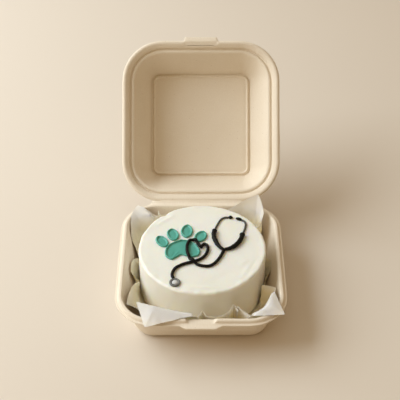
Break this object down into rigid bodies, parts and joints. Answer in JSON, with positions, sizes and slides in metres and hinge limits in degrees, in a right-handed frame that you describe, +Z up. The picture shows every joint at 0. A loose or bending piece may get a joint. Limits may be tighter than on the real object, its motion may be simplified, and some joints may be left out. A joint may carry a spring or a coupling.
{
  "type": "bento cake",
  "caption": "Small round iced cake with piped paw and stethoscope, on greaseproof paper in an open hinged box of moulded pulp.",
  "frame": {"origin": "centre of the flat underside of the tray, on the surface it stands on", "axes": "+Z up, +Y to the back where the lid is creased on, +X to the right as the open box is seen from its front"},
  "size_m": [0.154, 0.2771, 0.1537],
  "materials": {
    "pulp": "matt moulded plant-fibre pulp, unbleached, fine flecks",
    "greaseproof_paper": "thin translucent greaseproof paper, creased",
    "cream_icing": "smooth spread cream with faint spatula marks",
    "teal_icing": "piped and flooded coloured cream, soft sheen",
    "black_icing": "piped black cream, soft sheen",
    "grey_icing": "piped dark grey cream, soft sheen",
    "silver_icing": "pale silver-white cream, soft sheen"
  },
  "bodies": {
    "tray": {"box_base": "pulp", "paper_liner": "greaseproof_paper", "cake": "cream_icing", "paw_pad": "teal_icing", "paw_toe_1": "teal_icing", "paw_toe_2": "teal_icing", "paw_toe_3": "teal_icing", "paw_toe_4": "teal_icing", "tube_lower": "black_icing", "tube_upper": "black_icing", "sleeve_left": "black_icing", "sleeve_right": "black_icing", "ear_tip_left": "black_icing", "ear_tip_right": "black_icing", "ear_tube_left": "grey_icing", "ear_tube_right": "grey_icing", "chest_ring": "grey_icing", "chest_disc": "silver_icing"},
    "lid": {"box_lid": "pulp"}
  },
  "joints": [
    {"name": "lid_hinge", "type": "hinge", "parent": "tray", "child": "lid", "pos_m": [0, 0.079, 0.0376], "axis": [1, 0, 0], "range_deg": [-46.5, 133.5], "deforming": ["paper_liner"]}
  ]
}
